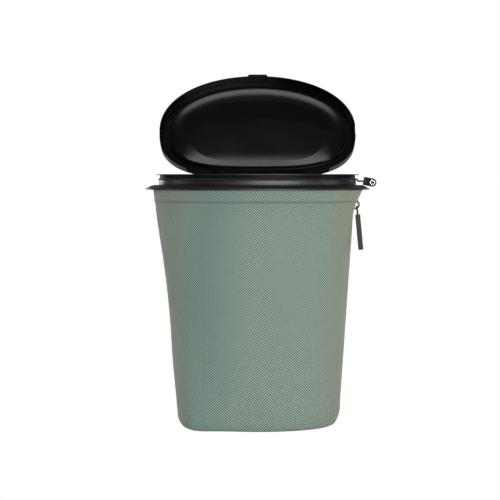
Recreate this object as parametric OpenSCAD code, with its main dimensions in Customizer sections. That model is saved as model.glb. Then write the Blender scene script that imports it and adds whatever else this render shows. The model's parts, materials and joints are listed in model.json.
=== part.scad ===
// Litter disposal pail: a D-shaped collar with a hinged lid, a fabric cover closed by a zip, and a liner.
// Millimetres, +Z up, the front towards -Y. The origin is the centre of the base on the floor.

/* [Collar] */
// Width over the top lip
lip_width = 228; // [216:1:240]
// Depth of the lip in front of its widest line
lip_front = 68; // [62:1:76]
// Depth of the lip behind its widest line
lip_back = 56; // [52:1:62]
// Height of the top lip above the floor
lip_height = 285; // [276:1:300]
// Thickness of the top lip
lip_thick = 1.2; // [1:0.1:1.4]
// How far the neck groove lies inside the lip
neck_inset = 4; // [3.6:0.1:4.4]
// Height of the neck groove
neck_height = 5.4; // [5:0.1:5.8]
// How far the band lies inside the lip
band_inset = 3; // [2.8:0.1:3.2]
// Height of the band under the groove
band_height = 5.7; // [5:0.1:6.4]
// Thickness of the collar wall at the neck
collar_wall = 4; // [3.5:0.1:4.2]
// Height of the spigot that holds the liner
spigot_height = 6; // [5:0.5:7]
// Thickness of the spigot
spigot_wall = 2; // [1.6:0.1:2.2]

/* [Flange] */
// How far the flange reaches beyond the lip
flange_reach = 12; // [10:0.5:14]
// Flat part of the flange beyond the lip, where the closed lid lands
flange_flat = 5; // [4:0.5:5.5]
// Drop of the flange from its root to its tip
flange_drop = 3.8; // [3:0.1:4.2]
// Thickness of the flange edge
flange_edge = 1.4; // [1.2:0.1:1.8]
// Thickness of the rim that the cover hangs from
rim_wall = 1.8; // [1.4:0.1:2.2]
// Height of that rim
rim_height = 5.5; // [4:0.5:7]

/* [Lid] */
// Opening angle of the lid as it stands
lid_open = 113; // [100:1:114]
// Thickness of the lid's top
lid_thick = 2.5; // [2:0.1:3]
// Thickness of the lid's skirt
skirt_wall = 1.8; // [1.4:0.1:2.2]
// Radius of the lid's upper edge
lid_round = 2; // [1.5:0.1:2.4]
// Half the width over which the skirt is cut away for the hinge
skirt_cut = 84; // [82:0.5:88]
// Width of the thumb tab
thumb_width = 25.5; // [16:0.5:40]
// How far the thumb tab stands out
thumb_reach = 4; // [3:0.1:6]
// Half the width of the recess inside the lid
recess_half = 97; // [90:0.5:98]
// Depth of that recess in front of the widest line
recess_front = 45; // [40:0.5:48]
// Depth of that recess behind the widest line
recess_back = 37; // [32:0.5:39]
// Thickness of the inner panel's raised frame
frame_thick = 4; // [3:0.1:4.4]
// Thickness of the inner panel inside its recess
recess_floor = 1.2; // [1:0.1:1.6]

/* [Hinge] */
// Distance of the hinge axis behind the lip
hinge_back = 6; // [5.5:0.1:7]
// Depth of the hinge axis below the lip
hinge_drop = 6; // [5.5:0.1:6.5]
// Diameter of a hinge pin
pin_diameter = 3; // [2.5:0.1:3.4]
// Outer diameter of the knuckles
knuckle_diameter = 6.8; // [6.2:0.1:7.2]
// Distance of each knuckle from the middle
knuckle_place = 48; // [36:1:60]
// Width of a lid knuckle
knuckle_width = 12; // [8:0.5:14]
// Thickness of each ear on the collar
ear_thick = 4; // [3:0.2:5]

/* [Cover] */
// Thickness of the fabric cover
cover_thick = 1.4; // [1:0.1:1.8]
// Height of the top hem
hem_height = 13; // [10:0.5:16]
// Half width of the base
base_half = 80; // [76:1:82]
// Depth of the base in front of the widest line
base_front = 45; // [42:0.5:46]
// Depth of the base behind the widest line
base_back = 40; // [38:0.5:41]
// Thickness of the base panel
base_thick = 2.5; // [2:0.1:3]
// Thickness of the liner
liner_thick = 1; // [0.8:0.1:1.1]

/* [Zip] */
// Distance of the zip in front of the widest line
zip_front = 3; // [2:0.5:4]
// Height of the lower end of the zip above the floor
zip_low = 27.5; // [24:0.5:34]
// Distance of the lower end of the zip from the middle
zip_side = 92; // [90.5:0.1:93]
// Lean of the zip from the vertical
zip_lean = 3.74; // [3.5:0.01:3.9]
// Length of the row of teeth
zip_length = 230; // [200:1:232]
// Spacing of the teeth in one row
tooth_pitch = 4; // [3.6:0.1:5]
// Height of one tooth along the zip
tooth_high = 1.5; // [1.2:0.1:1.7]
// Thickness of a tooth
tooth_thick = 2.2; // [1.8:0.1:2.4]
// How far a tooth reaches past the middle of the zip
tooth_cross = 0.9; // [0.6:0.1:1.1]
// How far a tooth reaches over its own tape
tooth_root = 2.2; // [1.8:0.1:2.4]
// Thickness of the tape
tape_thick = 0.7; // [0.5:0.1:0.8]
// Width of one tape
tape_width = 9; // [8:0.5:10]
// Part of each tape beside the teeth that stays flat
tape_flat = 4.4; // [4.4:0.1:4.8]
// Angle by which the front tape folds in beyond that
tape_fold = 22; // [20:1:24]
// Width of the slit between the edges of the cover
zip_slit = 11; // [10.5:0.5:12]
// How far the cover's surface stands outside the middle of the zip
zip_sunk = 2.4; // [2.3:0.1:3]

/* [Slider and pull] */
// Length of the slider
slider_length = 11; // [9:0.5:13]
// Width of the slider
slider_width = 8.4; // [8:0.1:8.8]
// Thickness of the slider's two plates
slider_plate = 1; // [0.8:0.1:1.2]
// Height of the bridge over the slider's outer plate
bridge_height = 6; // [5:0.1:6.4]
// Thickness of the bridge
bridge_bar = 1.8; // [1.4:0.1:2]
// Diameter of the pull cord
cord_diameter = 1.4; // [1.2:0.1:1.6]
// Length of the pull cord between the bridge and the grip
cord_length = 9; // [8:0.5:14]
// Length of the grip
grip_length = 40; // [30:1:50]
// Width of the grip across the zip
grip_width = 7; // [6:0.5:9]
// Thickness of the grip
grip_thick = 5.2; // [4.6:0.1:6]
// Lean of the grip away from the cover
grip_lean = 5.5; // [4:0.5:12]

/* [Elastic] */
// Diameter of the elastic cord in the groove
elastic_diameter = 1.8; // [1.6:0.1:2]
// Spacing of the two strands that run to the tab
strand_spacing = 5; // [4.6:0.1:5.6]
// Length of the tab from its hole to the middle of its round end
tab_length = 8.2; // [7.5:0.1:10]
// Height of the tab
tab_height = 9.4; // [8.6:0.1:9.6]
// Thickness of the tab
tab_thick = 2; // [1.6:0.1:2.4]
// Slope of the tab at rest
tab_slope = 11; // [9:1:12]
// Outer diameter of the stud ring
stud_diameter = 6.8; // [6:0.1:7.4]

/* [Hidden] */

PLASTIC = "#161717";
CLOTH = "#84968a";
STEEL = "#c9ccce";

// Gap between pieces that lie against each other
seat_gap = 0.3;
// Radial gap between a pin and an ear, and between a pin and a knuckle
pin_gap = 0.05;
knuckle_gap = 0.1;
// Gap at each side of a knuckle between its ears
side_gap = 0.2;
// Gap between the lip and the lid's skirt all round
skirt_gap = 0.6;

// The D outline: a power curve in front and a flatter one behind
front_power = 2.08;
back_power = 3;
outline_steps = 72;

half_lip = lip_width / 2;
neck_top = lip_height - lip_thick;
band_top = neck_top - neck_height;
flange_top = band_top - band_height;
collar_inner = -neck_inset - collar_wall;
spigot_outer = collar_inner + spigot_wall;
flange_inner = spigot_outer + liner_thick + seat_gap;
flange_tip = flange_top - flange_drop;
flange_under = flange_tip - flange_edge;
rim_outer = 0.4;

lid_under = lip_height + seat_gap;
lid_top = lid_under + lid_thick;
skirt_inner = skirt_gap;
skirt_outer = skirt_inner + skirt_wall;
skirt_bottom = flange_top + 0.5;

hinge_y = lip_back + hinge_back;
hinge_z = lip_height - hinge_drop;
pin_length = knuckle_width + 2 * (side_gap + ear_thick) + 1;
ear_place = knuckle_width / 2 + side_gap + ear_thick / 2;

pi = 3.14159265;

function raised(v, p) = sign(v) * pow(abs(v), p);
function unit(v) = v / norm(v);
// Power of the outline and its half axes at the angle t, for the half axes h = [left, right, front, back]
function power_at(t) = sin(t) < 0 ? front_power : back_power;
function half_x(t, h) = cos(t) < 0 ? h[0] : h[1];
function half_y(t, h) = sin(t) < 0 ? h[2] : h[3];
// Point of the outline at the angle t, pushed out by off along its normal
function outline_point(t, h, off = 0) =
    let (n = power_at(t), a = half_x(t, h), d = half_y(t, h))
    [a * raised(cos(t), 2 / n), d * raised(sin(t), 2 / n)]
    + off * unit([raised(cos(t), 2 - 2 / n) / a, raised(sin(t), 2 - 2 / n) / d]);
function outline(h, off = 0, steps = outline_steps) =
    [for (i = [0 : steps - 1]) outline_point(i * 360 / steps, h, off)];
function at_height(points, z) = [for (p = points) [p[0], p[1], z]];

lip_axes = [half_lip, half_lip, lip_front, lip_back];

// Rings of points joined into a solid with flat ends, from the underside outwards and up
module loft(rings) {
    c = len(rings[0]);
    r = len(rings);
    polyhedron(
        points = [for (ring = rings) each ring],
        faces = concat(
            [[for (i = [0 : c - 1]) i]],
            [[for (i = [c - 1 : -1 : 0]) (r - 1) * c + i]],
            [for (j = [0 : r - 2], i = [0 : c - 1]) [j * c + i, (j + 1) * c + i, (j + 1) * c + (i + 1) % c]],
            [for (j = [0 : r - 2], i = [0 : c - 1]) [j * c + i, (j + 1) * c + (i + 1) % c, j * c + (i + 1) % c]]
        )
    );
}

// Rings of points joined into a closed tube, each ring a corner of the profile taken anticlockwise
module hoop(rings) {
    c = len(rings[0]);
    r = len(rings);
    polyhedron(
        points = [for (ring = rings) each ring],
        faces = concat(
            [for (j = [0 : r - 1], i = [0 : c - 1])
                [j * c + i, ((j + 1) % r) * c + i, ((j + 1) % r) * c + (i + 1) % c]],
            [for (j = [0 : r - 1], i = [0 : c - 1])
                [j * c + i, ((j + 1) % r) * c + (i + 1) % c, j * c + (i + 1) % c]]
        )
    );
}

// A thick sheet between two grids of points, rows going up and columns anticlockwise seen from above
module sheet(outer, inner) {
    r = len(outer);
    c = len(outer[0]);
    m = r * c;
    top = (r - 1) * c;
    function two(a, b, c, d) = [[a, b, c], [a, c, d]];
    polyhedron(
        points = concat([for (row = outer) each row], [for (row = inner) each row]),
        faces = concat(
            [for (j = [0 : r - 2], i = [0 : c - 2])
                each two(j * c + i, j * c + c + i, j * c + c + i + 1, j * c + i + 1)],
            [for (j = [0 : r - 2], i = [0 : c - 2])
                each two(m + j * c + i, m + j * c + i + 1, m + j * c + c + i + 1, m + j * c + c + i)],
            [for (i = [0 : c - 2]) each two(i, i + 1, m + i + 1, m + i)],
            [for (i = [0 : c - 2]) each two(top + i + 1, top + i, m + top + i, m + top + i + 1)],
            [for (j = [0 : r - 2]) each two(j * c + c, j * c, m + j * c, m + j * c + c)],
            [for (j = [0 : r - 2])
                each two(j * c + c - 1, j * c + 2 * c - 1, m + j * c + 2 * c - 1, m + j * c + c - 1)]
        )
    );
}

module d_plate(off, z0, z1) {
    translate([0, 0, z0])
        linear_extrude(z1 - z0)
            polygon(outline(lip_axes, off));
}

module along_x(r, x0, x1) {
    translate([x0, 0, 0])
        rotate([0, 90, 0])
            cylinder(r = r, h = x1 - x0, $fn = 48);
}

module at_hinge() {
    translate([0, hinge_y, hinge_z])
        children();
}

// Collar: lip, neck groove, band and spigot, with two pairs of ears behind

module ear(x) {
    ear_round = knuckle_diameter / 2 + 0.2;
    at_hinge()
        along_x(ear_round, x - ear_thick / 2, x + ear_thick / 2);
    translate([x - ear_thick / 2, lip_back / 2, hinge_z - ear_round])
        cube([ear_thick, hinge_y - lip_back / 2, 2 * ear_round]);
}

// Way past the neck that lets the elastic through the ears
module elastic_way() {
    way_top = elastic_z + elastic_r + seat_gap;
    difference() {
        d_plate(elastic_off + elastic_r + seat_gap, band_top, way_top);
        d_plate(-neck_inset, band_top - 1, way_top + 1);
    }
}

module collar_ring() {
    color(PLASTIC)
        difference() {
            union() {
                d_plate(0, neck_top, lip_height);
                d_plate(-neck_inset, band_top, neck_top);
                d_plate(-band_inset, flange_top, band_top);
                d_plate(spigot_outer, flange_top - spigot_height, flange_top);
                for (side = [-1, 1], end = [-1, 1])
                    ear(side * knuckle_place + end * ear_place);
            }
            d_plate(collar_inner, flange_top - spigot_height - 1, lip_height + 1);
            at_hinge()
                along_x(pin_diameter / 2 + pin_gap, -half_lip, half_lip);
            elastic_way();
        }
}

// Flange ring: a broad sloped skirt clamped under the band, with the rim that the cover hangs from

module flange_ring() {
    profile = [
        [flange_inner, flange_under], [rim_outer - rim_wall, flange_under],
        [rim_outer - rim_wall, flange_under - rim_height], [rim_outer, flange_under - rim_height],
        [rim_outer, flange_under], [flange_reach, flange_under], [flange_reach, flange_tip],
        [flange_flat, flange_top - 0.3], [skirt_outer + 0.5, flange_top], [flange_inner, flange_top]
    ];
    color(PLASTIC)
        hoop([for (p = profile) at_height(outline(lip_axes, p[0]), p[1])]);
}

module hinge_pin(side) {
    color(PLASTIC)
        at_hinge()
            along_x(pin_diameter / 2, side * knuckle_place - pin_length / 2, side * knuckle_place + pin_length / 2);
}

module hinge_pin_left() {
    hinge_pin(-1);
}

module hinge_pin_right() {
    hinge_pin(1);
}

// Lid: a shallow D cap, modelled shut and turned open about the hinge axis

module opened() {
    at_hinge()
        rotate([-lid_open, 0, 0])
            translate([0, -hinge_y, -hinge_z])
                children();
}

module lid_knuckle(x) {
    arm_y = lip_back + 1.5;
    at_hinge()
        along_x(knuckle_diameter / 2, x - knuckle_width / 2, x + knuckle_width / 2);
    translate([x - knuckle_width / 2, arm_y, hinge_z])
        cube([knuckle_width, hinge_y + 1.4 - arm_y, lid_top - 0.4 - hinge_z]);
    translate([x - knuckle_width / 2, lip_back - 8, lid_under])
        cube([knuckle_width, hinge_back + 9.4, lid_thick - 0.4]);
}

module lid_shut() {
    round_steps = 4;
    rings = concat(
        [at_height(outline(lip_axes, skirt_inner - 6), lid_under)],
        [at_height(outline(lip_axes, skirt_inner), lid_under)],
        [at_height(outline(lip_axes, skirt_inner), skirt_bottom)],
        [at_height(outline(lip_axes, skirt_outer), skirt_bottom)],
        [for (k = [0 : round_steps])
            let (t = 90 * k / round_steps)
            at_height(
                outline(lip_axes, skirt_outer - lid_round * (1 - cos(t))),
                lid_top - lid_round * (1 - sin(t))
            )]
    );
    rib_proud = 0.3;
    rib_y = lip_front + skirt_inner + 1;
    difference() {
        union() {
            difference() {
                loft(rings);
                translate([-skirt_cut, 0, skirt_bottom - 1])
                    cube([2 * skirt_cut, lip_back + 20, lid_under - skirt_bottom + 1]);
            }
            for (side = [-1, 1])
                lid_knuckle(side * knuckle_place);
            translate([-thumb_width / 2, -lip_front - skirt_outer - thumb_reach, lid_top - 2.4])
                cube([thumb_width, thumb_reach + 6, 1.9]);
            translate([-1, -rib_y, lid_under - 6])
                cube([2, 1 + rib_proud, 6]);
        }
        at_hinge()
            along_x(pin_diameter / 2 + knuckle_gap, -half_lip, half_lip);
        strand_notch();
    }
}

module lid() {
    color(PLASTIC)
        opened()
            lid_shut();
}

// Inner panel of the lid: a raised frame with a round shoulder, and a recess in the middle

module lid_inner_panel() {
    edge = collar_inner - 2.5;
    shoulder = min(3.4, frame_thick - 0.4);
    low = lid_under - frame_thick;
    shoulder_steps = 4;
    recess_axes = [recess_half, recess_half, recess_front, recess_back];
    rings = concat(
        [for (k = [shoulder_steps : -1 : 0])
            let (t = 90 * k / shoulder_steps)
            at_height(outline(lip_axes, edge - shoulder * (1 - cos(t))), low + shoulder * (1 - sin(t)))],
        [at_height(outline(lip_axes, edge), lid_under)]
    );
    color(PLASTIC)
        opened()
            difference() {
                loft(rings);
                translate([0, 0, low - 1])
                    linear_extrude(frame_thick - recess_floor + 1)
                        polygon(outline(recess_axes));
            }
}

// Elastic that holds the bag: it lies in the groove and its two strands run out to the tab

elastic_r = elastic_diameter / 2;
elastic_off = -neck_inset + elastic_r + 0.05;
elastic_z = band_top + elastic_r + 0.05;
strand_half = strand_spacing / 2;
strand_out = skirt_outer + half_lip;
tab_hole_x = half_lip + 7.4;
tab_hole_z = flange_top + 4.4;
elastic_sides = 8;

// Route of the elastic, from its rear strand round the collar to its front strand, as [x, y, z]
function groove_route() = [
    for (i = [1 : outline_steps - 1])
        let (p = outline_point(i * 360 / outline_steps, lip_axes, elastic_off))
        [p[0], p[1], elastic_z]
];
function strand_route(s) = [
    [half_lip + elastic_off, s * (strand_half + 2), elastic_z],
    [half_lip + elastic_off + 1.2, s * strand_half, elastic_z - 0.3],
    [half_lip + elastic_off + 2.2, s * strand_half, elastic_z - 1.8],
    [half_lip + 0.2, s * strand_half, tab_hole_z - 0.2],
    [half_lip + 2, s * strand_half, tab_hole_z],
    [tab_hole_x - 0.9, s * strand_half, tab_hole_z],
    [tab_hole_x, s * (strand_half - 0.9), tab_hole_z]
];
function turned(list) = [for (i = [len(list) - 1 : -1 : 0]) list[i]];

// Rings of points round a closed route, square to it
function tube_rings(route, r, sides) =
    let (m = len(route))
    [for (i = [0 : m - 1])
        let (
            ahead = unit(route[(i + 1) % m] - route[(i + m - 1) % m]),
            across = unit(cross(ahead, [0, 0, 1])),
            up = cross(across, ahead)
        )
        [for (k = [0 : sides - 1]) route[i] + r * (cos(k * 360 / sides) * across + sin(k * 360 / sides) * up)]];

module bag_elastic() {
    route = concat(turned(strand_route(1)), groove_route(), strand_route(-1));
    color(PLASTIC)
        hoop(tube_rings(route, elastic_r, elastic_sides));
}

// Room that the closed lid's skirt leaves for the two strands
module strand_notch() {
    room = elastic_diameter + 1;
    translate([half_lip - 10, -strand_half - room, skirt_bottom - 1])
        cube([20, strand_spacing + 2 * room, tab_hole_z + elastic_r + 0.5 - skirt_bottom + 1]);
}

module at_tab() {
    translate([tab_hole_x, 0, tab_hole_z])
        rotate([0, tab_slope, 0])
            children();
}

module across_y(r, t) {
    rotate([90, 0, 0])
        cylinder(r = r, h = t, center = true, $fn = 48);
}

module elastic_tab() {
    end_r = tab_height / 2;
    color(PLASTIC)
        at_tab()
            difference() {
                union() {
                    translate([-elastic_r - 1, -tab_thick / 2, -end_r])
                        cube([tab_length + elastic_r + 1, tab_thick, tab_height]);
                    translate([tab_length, 0, 0])
                        across_y(end_r, tab_thick);
                }
                across_y(elastic_r + knuckle_gap, 2 * tab_thick);
                translate([tab_length, -tab_thick / 2, 0])
                    across_y(1.4, tab_thick);
            }
}

module tab_stud_ring() {
    color(STEEL)
        at_tab()
            translate([tab_length, -tab_thick / 2, 0])
                rotate([90, 0, 0])
                    rotate_extrude($fn = 48)
                        polygon([
                            [1.6, 0], [stud_diameter / 2, 0], [stud_diameter / 2 - 0.3, 0.5],
                            [stud_diameter / 2 - 0.9, 0.8], [2.2, 0.8], [1.6, 0.4]
                        ]);
}

module tab_stud_cap() {
    color(PLASTIC)
        at_tab()
            translate([tab_length, -tab_thick / 2, 0])
                rotate([90, 0, 0])
                    translate([0, 0, -0.9])
                        cylinder(r = 1.3, h = 1.4, $fn = 32);
}

// Cover: a fabric wall in two panels with a hem, hung from the rim, and a stiff base panel

zip_slope = tan(zip_lean);
function zip_x(z) = zip_side + (z - zip_low) * zip_slope;
function beside_zip(z) = zip_x(z) + zip_sunk;
zip_bend = 240;
slit_end = zip_low - 14;
cover_top = flange_under - 0.2;
hem_bottom = cover_top - hem_height;

// Half axes of the cover at chosen heights: [height, left, right, front, back]
cover_stations = [
    [0.5, base_half + 2, base_half + 3, base_front + 1.8, base_back + 1.8],
    [2.5, 86, 86.4, base_front + 4, base_back + 3.5],
    [8, 89, 89.8, base_front + 6.5, base_back + 5.5],
    [slit_end, 90.6, beside_zip(slit_end) - 1, base_front + 8, base_back + 6.6],
    [slit_end + 6, 91.4, beside_zip(slit_end + 6) + 0.2, base_front + 8.8, base_back + 7.3],
    [zip_low + 4, 92.4, beside_zip(zip_low + 4), base_front + 9.8, base_back + 8.2],
    [75, 96.4, beside_zip(75), base_front + 12.5, base_back + 10],
    [115, 98.8, beside_zip(115), base_front + 15, base_back + 11.5],
    [155, 102.4, beside_zip(155), base_front + 18, base_back + 13.5],
    [190, 106.8, beside_zip(190), base_front + 21, base_back + 15],
    [220, 111.4, beside_zip(220), base_front + 24, base_back + 16.5],
    [zip_bend, 114.2, beside_zip(zip_bend), base_front + 25.5, base_back + 17.5],
    [hem_bottom - 0.2, 115.6, 112, lip_front + 3, lip_back + 3]
];
hem_stations = [
    [hem_bottom, 115.9, 112.6, lip_front + 3.4, lip_back + 3.4],
    [hem_bottom + 6, 116.8, 115.4, lip_front + 3.7, lip_back + 3.7],
    [cover_top, 117.6, 118.6, lip_front + 4.2, lip_back + 4.2]
];
panel_columns = 30;

function station_axes(s) = [s[1], s[2], s[3], s[4]];
// Angle at which the outline of depth d and power n reaches y, and the two edges of the slit, closed at the foot
function angle_at(y, d, n) = asin(pow(y / d, n / 2));
function slit_front_angle(s) =
    s[0] > slit_end ? angle_at(zip_slit / 2 + zip_front, s[3], front_power) : 0;
function slit_back_angle(s) =
    s[0] > slit_end ? angle_at(zip_slit / 2 - zip_front, s[4], back_power) : 0;
function row(s, t0, t1, off) =
    at_height(
        [for (i = [0 : panel_columns]) outline_point(t0 + (t1 - t0) * i / panel_columns, station_axes(s), off)],
        s[0]
    );
function front_row(s, off) = row(s, -180, -slit_front_angle(s), off);
function back_row(s, off) = row(s, slit_back_angle(s), 180, off);

module cover_front() {
    color(CLOTH)
        sheet(
            [for (s = cover_stations) front_row(s, 0)],
            [for (s = cover_stations) front_row(s, -cover_thick)]
        );
}

module cover_back() {
    color(CLOTH)
        sheet(
            [for (s = cover_stations) back_row(s, 0)],
            [for (s = cover_stations) back_row(s, -cover_thick)]
        );
}

module cover_hem() {
    color(CLOTH) {
        sheet(
            [for (s = hem_stations) front_row(s, 0)],
            [for (s = hem_stations) front_row(s, -cover_thick)]
        );
        sheet(
            [for (s = hem_stations) back_row(s, 0)],
            [for (s = hem_stations) back_row(s, -cover_thick)]
        );
    }
}

module base_panel() {
    color(PLASTIC)
        linear_extrude(base_thick)
            polygon(outline([base_half, base_half, base_front, base_back]));
}

// Liner: a flexible inner bag, its mouth held between the collar's spigot and the flange ring

liner_top = flange_top - 0.1;
liner_stations = [
    [base_thick + seat_gap, 76, 74, base_front - 4, base_back - 3],
    [base_thick + 6, 83, 80, base_front + 1, base_back + 1.5],
    [28, 87, 84, base_front + 5, base_back + 4],
    [115, 94, 89, base_front + 10, base_back + 7.5],
    [190, 101, 94, base_front + 16, base_back + 10],
    [240, 106, 98, base_front + 19.5, base_back + 12],
    [257, 108.5, 101.5, lip_front - 4, lip_back - 4.2]
];
liner_mouth = flange_under - 1;

module liner_form(off, floor_up) {
    mouth = spigot_outer + 0.05 + liner_thick + off;
    loft(concat(
        [for (i = [0 : len(liner_stations) - 1])
            let (s = liner_stations[i])
            at_height(outline(station_axes(s), off), s[0] + (i == 0 ? floor_up : 0))],
        [for (z = [liner_mouth, liner_top + floor_up]) at_height(outline(lip_axes, mouth), z)]
    ));
}

module liner() {
    color("#202222")
        difference() {
            liner_form(0, 0);
            liner_form(-liner_thick, liner_thick);
        }
}

// Zip: two tapes with moulded teeth, stops, an end tab and a slider, all along one straight line

module on_zip(along = 0) {
    translate([zip_side, -zip_front, zip_low])
        rotate([0, zip_lean, 0])
            translate([0, 0, along])
                children();
}

tape_out = tape_thick / 2;
tooth_gap = 1;
tape_below = 5.5;
tape_above = 5;

// One tape: flat beside the teeth, then folded in by an angle to follow the cover
module tape(side, fold) {
    bent = tape_width - tape_flat;
    in = bent * sin(fold);
    out = tape_flat + bent * cos(fold);
    color("#2b2e2c")
        on_zip(-tape_below)
            mirror([0, side > 0 ? 0 : 1, 0])
                linear_extrude(zip_length + tape_below + tape_above)
                    polygon([
                        [tape_out, tooth_gap], [tape_out, tape_flat], [tape_out - in, out],
                        [-tape_out - in, out], [-tape_out, tape_flat], [-tape_out, tooth_gap]
                    ]);
}

module zip_tape_front() {
    tape(-1, tape_fold);
}

module zip_tape_rear() {
    tape(1, 0);
}

// One tooth: a head that crosses the middle and two shanks that grip the tape
module tooth(side) {
    mirror([0, side > 0 ? 1 : 0, 0])
        difference() {
            linear_extrude(tooth_high, center = true)
                polygon([
                    [-tooth_thick / 2, -tooth_root], [tooth_thick / 2, -tooth_root],
                    [tooth_thick / 2, tooth_cross - 0.5], [tooth_thick / 2 - 0.5, tooth_cross],
                    [-tooth_thick / 2 + 0.5, tooth_cross], [-tooth_thick / 2, tooth_cross - 0.5]
                ]);
            translate([-tape_out - 0.02, -tooth_root - 1, -tooth_high])
                cube([tape_thick + 0.04, tooth_root + 1 - tooth_gap + 0.02, 2 * tooth_high]);
        }
}

module tooth_row(side) {
    count = floor((zip_length - tooth_pitch) / tooth_pitch);
    shift = side > 0 ? tooth_pitch / 2 : 0;
    color("#7d8d83")
        for (i = [0 : count - 1])
            on_zip(tooth_pitch / 2 + shift + i * tooth_pitch)
                tooth(side);
}

module zip_teeth_front() {
    tooth_row(-1);
}

module zip_teeth_rear() {
    tooth_row(1);
}

module top_stop(side) {
    color("#2b2e2c")
        on_zip(zip_length + 2.4)
            mirror([0, side > 0 ? 1 : 0, 0])
                difference() {
                    translate([-1.3, -tooth_root, -1.4])
                        cube([2.6, tooth_root - 0.2, 2.8]);
                    translate([-tape_out - 0.02, -tooth_root - 1, -2])
                        cube([tape_thick + 0.04, tooth_root + 1 - tooth_gap + 0.02, 4]);
                }
}

module zip_top_stop_front() {
    top_stop(-1);
}

module zip_top_stop_rear() {
    top_stop(1);
}

module zip_bottom_stop() {
    color("#2b2e2c")
        on_zip(-2.2)
            difference() {
                translate([-1.4, -3, -1.6])
                    cube([2.8, 6, 3]);
                translate([-tape_out - 0.02, -4, -3])
                    cube([tape_thick + 0.04, 4 - tooth_gap + 0.02, 6]);
                translate([-tape_out - 0.02, tooth_gap - 0.02, -3])
                    cube([tape_thick + 0.04, 4, 6]);
            }
}

module zip_end_tab() {
    color(PLASTIC)
        on_zip(-tape_below)
            translate([tape_out + 0.05, -2.8, -4])
                cube([1.6, 5.6, 5.4]);
}

// Slider: two plates with turned-in flanges, a post between the rows and a bridge for the pull
slider_along = zip_length - slider_length / 2 - 0.5;
plate_in = tooth_thick / 2 + 0.3;
plate_out = plate_in + slider_plate;
flange_turn = 1;
tape_slot = tape_thick / 2 + 0.35;
cord_r = cord_diameter / 2;
bridge_low = slider_length * 0.3;
hang_x = plate_out + bridge_height - bridge_bar - cord_r - 0.3;
hang_z = -bridge_low + 0.4 + cord_r;

module slider_shell(side) {
    mirror([side > 0 ? 0 : 1, 0, 0]) {
        translate([plate_in, -slider_width / 2, -slider_length / 2])
            cube([slider_plate, slider_width, slider_length]);
        for (s = [-1, 1])
            translate([tape_slot, s * (slider_width / 2 - flange_turn / 2) - flange_turn / 2, -slider_length / 2])
                cube([plate_in - tape_slot + 0.1, flange_turn, slider_length]);
    }
}

module zip_slider() {
    bridge_half = bridge_low + bridge_bar;
    color("#1d1f1f")
        on_zip(slider_along) {
            slider_shell(1);
            slider_shell(-1);
            translate([-plate_in - 0.1, -0.45, slider_length / 2 - 1.4])
                cube([2 * plate_in + 0.2, 0.9, 1.4]);
            difference() {
                translate([plate_out - 0.1, -1.2, -bridge_half])
                    cube([bridge_height + 0.1, 2.4, 2 * bridge_half]);
                translate([plate_out, -2, -bridge_low])
                    cube([bridge_height - bridge_bar, 4, 2 * bridge_low]);
            }
        }
}

// Pull: a cord loop through the bridge and a moulded grip on its end

module at_pull() {
    on_zip(slider_along)
        translate([hang_x, 0, hang_z])
            rotate([0, -grip_lean - zip_lean, 0])
                children();
}

strand_side = 1.2 + 0.3 + cord_r;

module pull_cord() {
    color(PLASTIC)
        at_pull() {
            across_y(cord_r, 2 * strand_side);
            for (s = [-1, 1])
                translate([0, s * strand_side, -cord_length - 3])
                    cylinder(r = cord_r, h = cord_length + 3, $fn = 24);
            for (s = [-1, 1])
                translate([0, s * strand_side, 0])
                    sphere(r = cord_r, $fn = 24);
        }
}

module pull_grip() {
    end_r = grip_width / 2;
    color("#4b4b4b")
        at_pull()
            translate([0, 0, -cord_length])
                difference() {
                    union() {
                        translate([-grip_thick / 2, -end_r, -grip_length + end_r])
                            cube([grip_thick, grip_width, grip_length - end_r]);
                        translate([0, 0, -grip_length + end_r])
                            rotate([0, 90, 0])
                                cylinder(r = end_r, h = grip_thick, center = true, $fn = 48);
                    }
                    for (s = [-1, 1])
                        translate([0, s * strand_side, -3.1])
                            cylinder(r = cord_r + 0.02, h = 4, $fn = 24);
                }
}

collar_ring();
flange_ring();
hinge_pin_left();
hinge_pin_right();
lid();
lid_inner_panel();
bag_elastic();
elastic_tab();
tab_stud_ring();
tab_stud_cap();
liner();
cover_hem();
cover_front();
cover_back();
base_panel();
zip_tape_front();
zip_tape_rear();
zip_teeth_front();
zip_teeth_rear();
zip_top_stop_front();
zip_top_stop_rear();
zip_bottom_stop();
zip_end_tab();
zip_slider();
pull_cord();
pull_grip();
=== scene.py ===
"""Litter disposal pail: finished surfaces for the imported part, one operator for each group of pieces."""

import json
import math

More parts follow.
